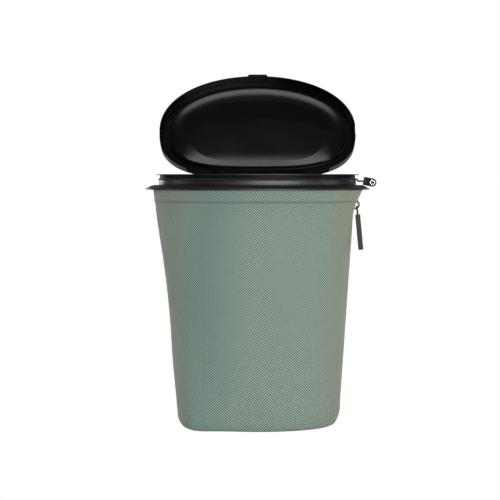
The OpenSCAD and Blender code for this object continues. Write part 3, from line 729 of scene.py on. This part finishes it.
class PAIL_OT_lid(bpy.types.Operator):
    """Lid, its inner panel, knuckles and thumb tab"""
    bl_idname = "pail.lid"
    bl_label = "Lid"

    def execute(self, context):
        # Painted shade: the lid's black is the same moulding darkened to about a third, for the lid's shaded
        # inside.
        satin = finish_of("satin_lid", lambda: satin_moulding("satin_lid", 0.18, 0.0, 0.36, 0.17))
        lv = Levels()
        shell = self.shell(lv, satin)
        panel = self.panel(lv, satin)
        self.knuckles(lv, satin)
        self.thumb(lv, satin)
        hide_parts("lid")
        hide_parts("lid_inner_panel")
        return {"FINISHED"}

    def shell(self, lv, material):
        """Skirt and top: a profile carried round the D outline.

        The skirt is cut back to nothing behind, and stops short over the elastic's strands at the right."""
        steps = 720
        t = turns_of(steps)
        inner, outer, top_round, middle = 0.6 * MM, 2.4 * MM, 2.0 * MM, -40 * MM
        x_edge, y_edge = d_outline(t, lip_axes(), outer)
        cut = (np.abs(x_edge) < 84 * MM) & (y_edge > 0)
        strand = (x_edge > 0) & (np.abs(y_edge) < 5.3 * MM)
        low = np.where(cut, lv.lid_under, np.where(strand, lv.flange_top + 5.8 * MM, lv.skirt_bottom))
        rows = []
        for off in (middle, inner - 6 * MM, inner - 1.5 * MM, inner - 0.4 * MM):
            rows.append((off, lv.lid_under))
        rows.append((inner, np.maximum(low, lv.lid_under - 0.4 * MM)))
        rows.append((inner, low + 0.3 * MM * (low < lv.lid_under)))
        rows.append((inner + 0.3 * MM, low))
        rows.append((outer - 0.4 * MM, low))
        rows.append((outer, low + 0.4 * MM * (low < lv.lid_under)))
        for angle in np.linspace(0, math.pi / 2, 7):
            rows.append((
                outer - top_round * (1 - math.cos(angle)),
                lv.lid_top - top_round * (1 - math.sin(angle))))
        rows.append((middle, lv.lid_top))
        grid = np.array([lip_ring(t, off, z) for off, z in rows])
        return make_piece(
            "lid_shell", "lid", material, opened(grid), capped(len(rows), steps), 35)

    def panel(self, lv, material):
        """Raised frame: a shoulder that flattens inwards, then the recess down to its floor."""
        steps = 360
        t = turns_of(steps)
        low = lv.lid_under - 4 * MM
        edge, shoulder, rise = -9.3 * MM, 12 * MM, 1.5 * MM
        floor = lv.lid_under - 1.2 * MM
        back = eased(np.sin(t) * 1.8)
        width = shoulder * (1 - 0.8 * back)
        rows = [lip_ring(t, edge, lv.lid_under)]
        for share in np.linspace(0, 1, 13):
            rows.append(lip_ring(t, edge - width * share, low + rise * (1 - share) ** 2))
        for share in np.linspace(0, 1, 21):
            drop = share * back + eased(share) * (1 - back)
            rows.append(np.column_stack([*self.recess(t, share), low + (floor - low) * drop]))
        grid = np.array(rows)[::-1]
        return make_piece(
            "lid_frame", "lid", material, opened(grid), capped(len(rows), steps), 35)

    def recess(self, t, share):
        """Outline of the recess at a share of its depth: soft in front, steeper and squarer behind."""
        c, s = np.cos(t), np.sin(t)
        n = np.where(s < 0, FRONT_POWER, 3.7)
        a = (94 - 19 * share) * MM
        d = np.where(s < 0, 43 - 25 * share, 45.8 - 9.4 * share) * MM
        return a * raised(c, 2 / n), d * raised(s, 2 / n)

    def knuckles(self, lv, material):
        """Two knuckles: a round about the hinge axis with an arm up to the lid's top."""
        r = 3.4 * MM
        arm = lip_axes()[3] + 1.5 * MM
        root = lip_axes()[3] - 8 * MM
        high = lv.lid_top - 0.4 * MM
        a = np.linspace(math.pi, 2 * math.pi, 17)
        y = np.concatenate([
            HINGE[1] + r * np.cos(a)[:-1],
            [HINGE[1] + r, HINGE[1] + 1.4 * MM, root, root, arm]])
        z = np.concatenate([
            HINGE[2] + r * np.sin(a)[:-1],
            [HINGE[2] + 1 * MM, high, high, lv.lid_under, lv.lid_under]])
        y[0] = arm
        for index, x in enumerate((-KNUCKLE_X, KNUCKLE_X)):
            points, faces = slab(y, z, x - 6 * MM, x + 6 * MM)
            piece = make_piece(f"knuckle_{index}", "lid", material, opened(points), faces)
            soften(piece, 0.4 * MM)

    def thumb(self, lv, material):
        """Thumb tab at the front edge and the small locating rib inside the skirt."""
        s = sizes()
        front = -s.lip_front - 2.4 * MM
        half = 12.75 * MM
        u = np.sin(np.linspace(-1, 1, 33) * math.pi / 2)
        y = front - 8.5 * MM * (1 - np.abs(u) ** 20)
        outline_x = np.concatenate([u * half, [half, -half]])
        outline_y = np.concatenate([y, [front + 5 * MM, front + 5 * MM]])
        points, faces = prism(*(
            np.column_stack([outline_x, outline_y, np.full(len(outline_x), z)])
            for z in (lv.lid_top - 2.4 * MM, lv.lid_top - 0.5 * MM)))
        piece = make_piece("thumb_tab", "lid", material, opened(points), faces)
        soften(piece, 0.5 * MM)
        rib_y = -s.lip_front - 1.6 * MM
        y = rib_y + np.array([0.0, 1.45, 1.45, 0.0]) * MM
        z = np.array([lv.lid_under, lv.lid_under, lv.lid_under - 6 * MM, lv.lid_under - 6 * MM])
        points, faces = slab(y, z, -1 * MM, 1 * MM)
        piece = make_piece("front_rib", "lid", material, opened(points), faces)
        soften(piece, 0.2 * MM)


def cubic_through(x, xs, ys):
    """Values at x on smooth curves through the rows of ys.

    Each span is a Hermite cubic. A slope is the harmonic mean of the two spans beside it, or 0 at a turn,
    so the curve never overshoots."""
    rise = np.diff(ys, axis=0) / np.diff(xs)[:, None]
    same = rise[:-1] * rise[1:] > 0
    mean = 2 * rise[:-1] * rise[1:] / np.where(same, rise[:-1] + rise[1:], 1.0)
    slope = np.vstack([rise[:1], np.where(same, mean, 0.0), rise[-1:]])
    k = np.clip(np.searchsorted(xs, x, side="right") - 1, 0, len(xs) - 2)
    span = np.diff(xs)[k][:, None]
    t = (x - xs[k])[:, None] / span
    return (
        (1 + 2 * t) * (1 - t) ** 2 * ys[k] + t * (1 - t) ** 2 * span * slope[k]
        + t * t * (3 - 2 * t) * ys[k + 1] + t * t * (t - 1) * span * slope[k + 1])


def eased(v):
    """0 below 0, 1 above 1 and a smooth rise between."""
    v = np.clip(v, 0.0, 1.0)
    return v * v * (3 - 2 * v)


def even_shares(first, last, count, axes):
    """Shares of the turn between two angles that space points evenly along an outline."""
    t = np.linspace(first, last, 4001)
    x, y = d_outline(t, axes)
    run = np.concatenate([[0.0], np.cumsum(np.hypot(np.diff(x), np.diff(y)))])
    return (np.interp(np.linspace(0, run[-1], count), run, t) - first) / (last - first)


class Zipper:
    """The zip's middle line and the edges of the slit beside it."""

    foot = 27.5 * MM
    side = 92 * MM
    front = 3 * MM
    lean = math.radians(3.74)
    slit_foot = 13.5 * MM
    slit_rise = 6 * MM
    slit_front = 8.5 * MM
    slit_back = 2.5 * MM
    sunk = 2.4 * MM

    def beside(self, z):
        """Half width of the cover's right side, which stands a little outside the zip."""
        return self.side + (z - self.foot) * math.tan(self.lean) + self.sunk

    def place(self, along, across=0.0, out=0.0):
        """A point along the zip, across it towards the back, and out from it, all in metres."""
        c, s = math.cos(self.lean), math.sin(self.lean)
        return (self.side + out * c + along * s, across - self.front, self.foot + along * c - out * s)

    def edges(self, z, axes):
        """Angles of the slit's front and back edges on outlines with half axes (left, right, front, back)."""
        share = eased((z - self.slit_foot) / self.slit_rise)
        ahead = np.arcsin((self.slit_front * share / axes[:, 2]) ** (FRONT_POWER / 2))
        behind = np.arcsin((self.slit_back * share / axes[:, 3]) ** (BACK_POWER / 2))
        return -ahead, behind


ZIP = Zipper()


def cover_stations():
    """Half axes of the cover at chosen heights: height, left, right, front, back."""
    beside = ZIP.beside
    foot = ZIP.slit_foot
    mm = np.array([
        [0.5, 82, 83, 46.8, 41.8], [2.5, 86, 86.4, 49, 43.5], [8, 89, 89.8, 51.5, 45.5],
        [foot / MM, 90.6, beside(foot) / MM - 1, 53, 46.6],
        [foot / MM + 6, 91.4, beside(foot + 6 * MM) / MM + 0.2, 53.8, 47.3],
        [31.5, 92.4, 0, 54.8, 48.2], [75, 96.4, 0, 57.5, 50], [115, 98.8, 0, 60, 51.5],
        [155, 102.4, 0, 63, 53.5], [190, 106.8, 0, 66, 55], [220, 111.4, 0, 69, 56.5],
        [240, 114.2, 0, 70.5, 57.5], [254.1, 115.6, 112, 71, 59]])
    mm[5:12, 2] = beside(mm[5:12, 0] * MM) / MM
    return mm * MM


HEM_STATIONS = MM * np.array([
    [254.3, 115.9, 112.6, 71.4, 59.4], [260.3, 116.8, 115.4, 71.7, 59.7], [267.3, 117.6, 118.6, 72.2, 60.2]])
LINER_STATIONS = MM * np.array([
    [2.8, 76, 74, 41, 37], [8.5, 83, 80, 46, 41.5], [28, 87, 84, 50, 44], [115, 94, 89, 55, 47.5],
    [190, 101, 94, 61, 50], [240, 106, 98, 64.5, 52], [257, 108.5, 101.5, 64, 51.8]])


def thin_sheet(outer, inner):
    """Closes two grids of points, rows going up and columns anticlockwise, into one thin sheet."""
    rows, cols = outer.shape[:2]
    loops = np.concatenate([outer, inner[:, ::-1]], axis=1)
    i = np.arange(cols - 1)
    foot = np.stack([i, 2 * cols - 1 - i, 2 * cols - 2 - i, i + 1], axis=-1)
    top = foot[:, ::-1] + (rows - 1) * 2 * cols
    return loops, np.concatenate([grid_faces(rows, 2 * cols, False, True), foot, top])


class Panel:
    """One panel of cloth on the D outline: its grid of angles, flat map and cut size."""

    def __init__(self, z, axes, first, last, columns):
        self.z = z
        self.axes = [axes[:, k, None] for k in range(4)]
        middle = axes[len(z) // 2]
        shares = even_shares(first[-1], last[-1], columns, middle)
        self.t = first[:, None] + (last - first)[:, None] * shares[None, :]
        x, y = d_outline(self.t, self.axes)
        steps = np.hypot(np.diff(x, axis=1, prepend=x[:, :1]), np.diff(y, axis=1, prepend=y[:, :1]))
        self.run = np.cumsum(steps, axis=1)
        self.width = self.run[:, -1]
        centre = np.arange(len(z)), np.abs(x).argmin(axis=1)
        self.u = self.run - self.run[centre][:, None] + x[centre][:, None]
        depth = axes[:, 2]
        self.v = np.cumsum(np.hypot(np.diff(z, prepend=z[0]), np.diff(depth, prepend=depth[0])))
        self.length = self.v[-1]
        self.area = float(np.sum((self.width[1:] + self.width[:-1]) / 2 * np.diff(self.v)))

    def surface(self, off, settle=False):
        """Points of the panel moved out by off. Settled, its left front corner is squarer at the foot."""
        x, y = d_outline(self.t, self.axes, off)
        z = np.repeat(self.z[:, None], self.t.shape[1], 1)
        if settle:
            near_floor = eased((150 * MM - z) / (170 * MM))
            corner = np.exp(-((self.t + math.radians(146)) / 0.40) ** 2) * eased((self.t + math.pi) / 0.45)
            x = x - 1.0 * MM * near_floor * corner
            y = y - 14 * MM * near_floor * corner
        return np.stack([x, y, z], axis=-1)

    def flat_map(self):
        """The flat map in metres, for the points of thin_sheet."""
        grid = np.stack([self.u, np.repeat(self.v[:, None], self.u.shape[1], 1)], axis=-1)
        return np.concatenate([grid, grid[:, ::-1]], axis=1)


def stitch_run(path, out, pitch=3.0 * MM, length=2.3 * MM, radius=0.28 * MM):
    """Stitches along a path: small lozenges of thread, one every pitch, lying on the cloth.

    A stitch is a squashed ellipsoid along the path: at the share a its radius is radius * sqrt(1 - a^2)."""
    step = np.concatenate([[0.0], np.cumsum(np.linalg.norm(np.diff(path, axis=0), axis=1))])
    at = np.arange(pitch, step[-1] - pitch, pitch)
    centre = np.stack([np.interp(at, step, path[:, k]) for k in range(3)], axis=-1)
    later = np.stack([np.interp(at + 0.5 * MM, step, path[:, k]) for k in range(3)], axis=-1)
    normal = np.stack([np.interp(at, step, out[:, k]) for k in range(3)], axis=-1)
    ahead = later - centre
    ahead /= np.linalg.norm(ahead, axis=1)[:, None]
    normal /= np.linalg.norm(normal, axis=1)[:, None]
    across = np.cross(normal, ahead)
    a = np.array([-0.96, -0.7, -0.3, 0.3, 0.7, 0.96])
    r = radius * np.sqrt(1 - a * a)
    turn = turns_of(6)
    local = np.stack([
        np.repeat(a[:, None] * length / 2, 6, 1),
        r[:, None] * np.cos(turn),
        r[:, None] * np.sin(turn)], axis=-1)
    basis = np.stack([ahead, across, normal], axis=1)
    points = centre[:, None, None] + np.einsum("ijk,nkl->nijl", local, basis)
    return points.reshape(-1, 3), [[36 * n + v for v in f] for n in range(len(at)) for f in capped(6, 6)]


def joined(parts):
    """Several sets of points and faces as one set."""
    points, faces, start = [], [], 0
    for some, theirs in parts:
        some = np.asarray(some, float).reshape(-1, 3)
        points.append(some)
        faces += [[int(v) + start for v in f] for f in theirs]
        start += len(some)
    return np.concatenate(points), faces


class PAIL_OT_cover(bpy.types.Operator):
    """Woven cover in two panels with a hem and stitching"""
    bl_idname = "pail.cover"
    bl_label = "Cover"

    thick = 1.3 * MM

    def execute(self, context):
        cloth = finish_of("woven", woven_cover)
        stations = cover_stations()
        z = np.unique(np.concatenate([np.linspace(0.5, 24, 36), np.linspace(24, 254.1, 100)])) * MM
        axes = cubic_through(z, stations[:, 0], stations[:, 1:])
        ahead, behind = ZIP.edges(z, axes)
        whole = np.full(len(z), math.pi)
        seams = []
        for name, first, last in (("front", -whole, ahead), ("back", behind, whole)):
            panel = Panel(z, axes, first, last, 260)
            off = self.waves(panel, name == "front") + self.foot(z)[:, None]
            outer = panel.surface(off, name == "front")
            inner = panel.surface(off - self.thick, name == "front")
            under = panel.surface(-1.4 * MM)[:1] - (0.0, 0.0, 0.1 * MM)
            inner[0, :, 2] += self.thick
            points, faces = thin_sheet(
                np.concatenate([under, outer]), np.concatenate([under + (0.0, 0.0, self.thick), inner]))
            chart = panel.flat_map()
            chart = np.concatenate([chart[:1] - (0.0, 5 * MM), chart])
            piece = make_piece(
                f"cover_{name}_cloth", "body", cloth, points, faces, 50, chart)
            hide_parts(f"cover_{name}")
            column = -4 if name == "front" else 3
            upright = (z > 24 * MM) & (z < 250 * MM)
            edge = outer[upright, column]
            seams.append(stitch_run(edge, self.outward(edge)))
        seams += self.hem(cloth)
        points, faces = joined(seams)
        make_piece("stitches", "body", finish_of("thread", sewing_thread), points, faces)
        return {"FINISHED"}

    def foot(self, z):
        """How far the foot stands out: a slight flare, then the round on its lower edge."""
        flare, round_in, round_height = 1.2 * MM, 2.4 * MM, 3 * MM
        low = np.clip(1 - z / round_height, 0, 1)
        return flare * eased((18 * MM - z) / (14 * MM)) - round_in * (1 - np.sqrt(1 - low * low))

    def outward(self, points):
        """Level directions away from the pail's middle line, square enough to the cloth for its stitches."""
        out = points * (1.0, 1.6, 0.0)
        return out / np.linalg.norm(out, axis=1)[:, None]

    def waves(self, panel, front):
        """Slack waves of the cloth, quiet at the hem, foot and seams, and small puckers beside the seams."""
        u, v, z = panel.u, panel.v[:, None], panel.z[:, None]
        shift = 0.0 if front else 2.1
        wave = (
            0.50 * np.sin(38 * u + 1.2 * np.sin(16 * v + shift) + shift)
            + 0.34 * np.sin(67 * u - 21 * v + 1.7 + shift)
            + 0.30 * np.sin(33 * v + 20 * u + 0.6 * np.sin(52 * u) + shift))
        to_edge = np.minimum(panel.run, panel.width[:, None] - panel.run)
        quiet = eased((z - 6 * MM) / (30 * MM)) * eased((254 * MM - z) / (26 * MM))
        still = eased(to_edge / (30 * MM))
        pucker = (
            0.16 * np.sin(v * 2 * math.pi / (9 * MM)) * np.exp(-to_edge / (5 * MM))
            * eased(to_edge / (3 * MM)))
        seam = -0.35 * MM * np.exp(-(to_edge / (1.4 * MM)) ** 2)
        return sizes().slack * quiet * (wave * still + pucker) + seam * quiet

    def hem(self, cloth):
        """The folded hem under the flange, open at the zip, and its line of stitches."""
        rise = np.linspace(0, 1, 22)
        z = (254.2 + 13.1 * rise) * MM
        axes = cubic_through(z, HEM_STATIONS[:, 0], HEM_STATIONS[:, 1:])
        ahead, behind = ZIP.edges(z, axes)
        whole = np.full(len(z), math.pi)
        bulge = 0.6 * MM * np.sin(math.pi * np.clip(rise * 5, 0, 1))[:, None] - 0.1 * MM
        bands, maps, seams, area, width = [], [], [], 0.0, 0.0
        for first, last in ((-whole, ahead), (behind, whole)):
            panel = Panel(z, axes, first, last, 260)
            outer = panel.surface(bulge)
            bands.append(thin_sheet(outer, panel.surface(bulge - self.thick)))
            maps.append(panel.flat_map().reshape(-1, 2))
            area += panel.area
            width += float(panel.width.max())
            line = outer[4]
            seams.append(stitch_run(line, self.outward(line)))
        points, faces = joined(bands)
        piece = make_piece("hem_cloth", "body", cloth, points, faces, 50, np.concatenate(maps))
        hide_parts("cover_hem")
        return seams


class PAIL_OT_inside(bpy.types.Operator):
    """Liner bag and base board"""
    bl_idname = "pail.inside"
    bl_label = "Liner and base"

    thick = 1.0 * MM

    def execute(self, context):
        steps = 360
        t = turns_of(steps)
        z = np.concatenate([np.linspace(2.8, 12, 8), np.linspace(16, 257, 60)]) * MM
        axes = cubic_through(z, LINER_STATIONS[:, 0], LINER_STATIONS[:, 1:])
        outside = self.wall(t, z, axes, 0.0, 0.0)
        inside = self.wall(t, z, axes, -self.thick, self.thick)[::-1]
        rows = np.concatenate([outside, inside])
        piece = make_piece(
            "liner_bag", "body", finish_of("liner", coated_liner), rows,
            capped(len(rows), steps), 60)
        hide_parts("liner")
        dress_node("base_panel", finish_of("board", base_board))
        return {"FINISHED"}

    def wall(self, t, z, axes, off, lift):
        """Rows of one face of the bag: its floor from the middle out, its creased wall, its held mouth."""
        grid_t, grid_z = np.meshgrid(t, z)
        crease = 0.8 * MM * (
            np.sin(5 * grid_t + 60 * grid_z) * np.sin(38 * grid_z + 3 * np.cos(2 * grid_t))
            + 0.4 * np.sin(11 * grid_t - 90 * grid_z))
        crease *= eased((grid_z - 10 * MM) / (40 * MM)) * eased((252 * MM - grid_z) / (30 * MM))
        out = off + crease - 0.5 * MM * (crease != 0)
        x, y = d_outline(grid_t, [axes[:, k, None] for k in range(4)], out)
        wall = np.stack([x, y, grid_z], axis=-1)
        wall[0, :, 2] += lift
        floor = wall[0][None] * np.array([0.02, 0.3, 0.6, 0.9])[:, None, None]
        floor[:, :, 2] = wall[0, 0, 2]
        mouth = [lip_ring(t, -4.95 * MM + off, height) for height in (266.5 * MM, 272.6 * MM)]
        return np.concatenate([floor, wall, mouth])


class PAIL_OT_elastic(bpy.types.Operator):
    """Bag elastic in the collar's groove, its tab and the tab's stud"""
    bl_idname = "pail.elastic"
    bl_label = "Elastic and tab"

    def execute(self, context):
        lv = Levels()
        radius, gap, opening = 0.9 * MM, 0.05 * MM, math.radians(6)
        off = -4 * MM + radius + gap
        height = lv.band_top + radius + gap
        hole = np.array(JOINTS["tab_swing"]["pos_m"])
        t = np.linspace(opening, 2 * math.pi - opening, 400)
        groove = lip_ring(t, off, height)
        half, aside = sizes().lip_half, 2.5 * MM
        strand = [
            (half + off, 4.5 * MM, height), (half + off + 1.2 * MM, aside, height - 0.3 * MM),
            (half + off + 2.2 * MM, aside, height - 1.8 * MM), (half + 0.2 * MM, aside, hole[2] - 0.2 * MM),
            (half + 2 * MM, aside, hole[2]), (hole[0] - 0.9 * MM, aside, hole[2]),
            (hole[0], 1.6 * MM, hole[2])]
        near = np.array(strand) * (1, -1, 1)
        far = np.array(strand)[::-1]
        ends = self.rounded_run(np.concatenate([groove[-1:], near, far, groove[:1]]))
        route = np.concatenate([groove, ends])
        points, faces, uv = tube(route, radius)
        piece = make_piece(
            "elastic", "body", finish_of("elastic", braided_elastic), points, faces, 60, uv)
        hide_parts("bag_elastic")
        webbing = finish_of("webbing", dull_tab)
        soft_copy("elastic_tab", "tab", webbing, 0.35 * MM)
        soft_copy("tab_stud_cap", "tab", webbing, 0.2 * MM)
        soft_copy("tab_stud_ring", "tab", finish_of("stud", bright_stud), 0.08 * MM)
        return {"FINISHED"}

    def rounded_run(self, points):
        """An open run of points with its corners cut twice, without its two ends."""
        p = points
        for _ in range(2):
            pairs = np.stack([0.75 * p[:-1] + 0.25 * p[1:], 0.25 * p[:-1] + 0.75 * p[1:]], axis=1)
            p = np.concatenate([p[:1], pairs.reshape(-1, 3), p[-1:]])
        return p[1:-1]


def face_out(mesh, merge=False):
    """Turns a mesh's faces outwards, after merging its doubled points and flat faces where asked."""
    bm = bmesh.new()
    bm.from_mesh(mesh)
    if merge:
        bmesh.ops.remove_doubles(bm, verts=bm.verts, dist=1e-6)
        bmesh.ops.dissolve_limit(bm, angle_limit=math.radians(1), verts=bm.verts, edges=bm.edges)
    bmesh.ops.recalc_face_normals(bm, faces=bm.faces)
    bm.to_mesh(mesh)
    bm.free()


def soft_copy(node, body, material, width):
    """A copy of a CAD node with its points merged and its sharp edges rounded, which stands for the node."""
    source = frame["nodes"][node]
    mesh = source.data.copy()
    mesh.transform(source.matrix_world)
    face_out(mesh, merge=True)
    mesh.materials.clear()
    mesh.materials.append(material)
    smooth_faces(mesh, 35)
    piece = bpy.data.objects.new(f"{node}_finish", mesh)
    bpy.context.scene.collection.objects.link(piece)
    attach(piece, body)
    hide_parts(node)
    soften(piece, width)
    return piece


class PAIL_OT_zip(bpy.types.Operator):
    """Zip tapes, teeth, stops, slider and pull"""
    bl_idname = "pail.zip"
    bl_label = "Zip and pull"

    def execute(self, context):
        for name in ("zip_tape_front", "zip_tape_rear"):
            dress_node(name, finish_of("tape", zip_cloth))
        teeth = finish_of("teeth", moulded_teeth)
        for name in (
            "zip_teeth_front", "zip_teeth_rear", "zip_top_stop_front", "zip_top_stop_rear", "zip_bottom_stop",
        ):
            soft_copy(name, "body", teeth, 0.22 * MM)
        soft_copy("zip_end_tab", "body", finish_of("tape", zip_cloth), 0.3 * MM)
        metal = finish_of("slider", black_metal)
        self.slider(metal)
        soft_copy("pull_grip", "pull", finish_of("grip", grip_rubber), 0.7 * MM)
        self.cord()
        for name in ("hinge_pin_left", "hinge_pin_right"):
            soft_copy(name, "body", metal, 0.25 * MM)
        return {"FINISHED"}

    def slider(self, metal):
        """Two plates with turned-in edges, a post between the rows and an oval bridge."""
        along, half = 224 * MM, 5.5 * MM
        boxes = []
        for side in (-1, 1):
            boxes.append((side * 1.4 * MM, side * 2.4 * MM, -4.2 * MM, 4.2 * MM, -half, half))
            for edge in (-1, 1):
                boxes.append((
                    side * 0.7 * MM, side * 1.5 * MM, edge * 3.2 * MM, edge * 4.2 * MM, -half, half))
        boxes.append((-1.5 * MM, 1.5 * MM, -0.45 * MM, 0.45 * MM, half - 1.4 * MM, half))
        parts = []
        for out0, out1, across0, across1, low, high in boxes:
            o, c, h = sorted((out0, out1)), sorted((across0, across1)), (along + low, along + high)
            corners = [ZIP.place(h[k], c[j], o[i]) for k in (0, 1) for j in (0, 1) for i in (0, 1)]
            parts.append((corners, [
                [0, 2, 3, 1], [4, 5, 7, 6], [0, 1, 5, 4], [2, 6, 7, 3], [0, 4, 6, 2], [1, 3, 7, 5]]))
        points, faces = joined(parts)
        body = make_piece("slider_body", "slider", metal, points, faces)
        soften(body, 0.25 * MM)
        a = np.linspace(-math.pi / 2, math.pi / 2, 41)
        out = 2.2 * MM + 5.4 * MM * np.abs(np.cos(a)) ** 0.7
        up = 4.4 * MM * np.sin(a)
        route = np.array([ZIP.place(along + h, 0.0, o) for o, h in zip(out, up)])
        ahead = np.gradient(route, axis=0)
        ahead /= np.linalg.norm(ahead, axis=1)[:, None]
        across = np.array((0.0, 1.0, 0.0))
        turn = turns_of(12)
        wide, thick = 1.3 * MM, 1.1 * MM
        rings = (
            route[:, None] + wide * np.cos(turn)[None, :, None] * across
            + thick * np.sin(turn)[None, :, None] * np.cross(across, ahead)[:, None])
        bridge = make_piece(
            "slider_bridge", "slider", metal, rings, capped(len(route), len(turn)), 60)
        face_out(bridge.data)
        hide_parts("zip_slider")

    def cord(self):
        """The pull's cord: a loop through the slider's bridge with both ends in the grip."""
        side, foot, bend = 2.2 * MM, -11.4 * MM, 0.9 * MM
        a = np.linspace(0, math.pi / 2, 7)
        high = np.column_stack([side - bend + bend * np.sin(a), -bend + bend * np.cos(a)])[::-1]
        low = np.column_stack([[side - bend, side], [foot, foot + bend]])
        right = np.concatenate([low, high])
        loop = np.concatenate([right, (right * (-1, 1))[::-1]])
        lean = math.radians(-5.5)
        pivot = np.array(JOINTS["pull_swing"]["pos_m"])
        route = pivot + np.column_stack([
            loop[:, 1] * math.sin(lean), loop[:, 0], loop[:, 1] * math.cos(lean)])
        points, faces, uv = tube(route, 0.85 * MM, (math.cos(lean), 0.0, -math.sin(lean)))
        piece = make_piece(
            "cord", "pull", finish_of("elastic", braided_elastic), points, faces, 60, uv)
        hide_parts("pull_cord")


class PAIL_PT_panel(bpy.types.Panel):
    """Lists the pail's pieces and its sizes"""
    bl_idname = "PAIL_PT_panel"
    bl_label = "Litter disposal pail"
    bl_space_type = "VIEW_3D"
    bl_region_type = "UI"
    bl_category = "Pail"

    def draw(self, context):
        for step in STEPS:
            self.layout.operator(step.bl_idname)
        for group in (context.scene.pail_sizes, context.scene.pail_colours):
            for key in group.__annotations__:
                self.layout.prop(group, key)


STEPS = (
    PAIL_OT_stage, PAIL_OT_collar, PAIL_OT_lid, PAIL_OT_cover, PAIL_OT_inside, PAIL_OT_elastic, PAIL_OT_zip)
CLASSES = (PailSizes, PailColours) + STEPS + (PAIL_PT_panel,)


def register():
    for cls in CLASSES:
        bpy.utils.register_class(cls)
    bpy.types.Scene.pail_sizes = bpy.props.PointerProperty(type=PailSizes)
    bpy.types.Scene.pail_colours = bpy.props.PointerProperty(type=PailColours)


def unregister():
    del bpy.types.Scene.pail_colours
    del bpy.types.Scene.pail_sizes
    for cls in reversed(CLASSES):
        bpy.utils.unregister_class(cls)


def main():
    register()
    for step in STEPS:
        group, name = step.bl_idname.split(".")
        getattr(getattr(bpy.ops, group), name)()
    bpy.context.view_layer.update()


if __name__ == "__main__":
    main()
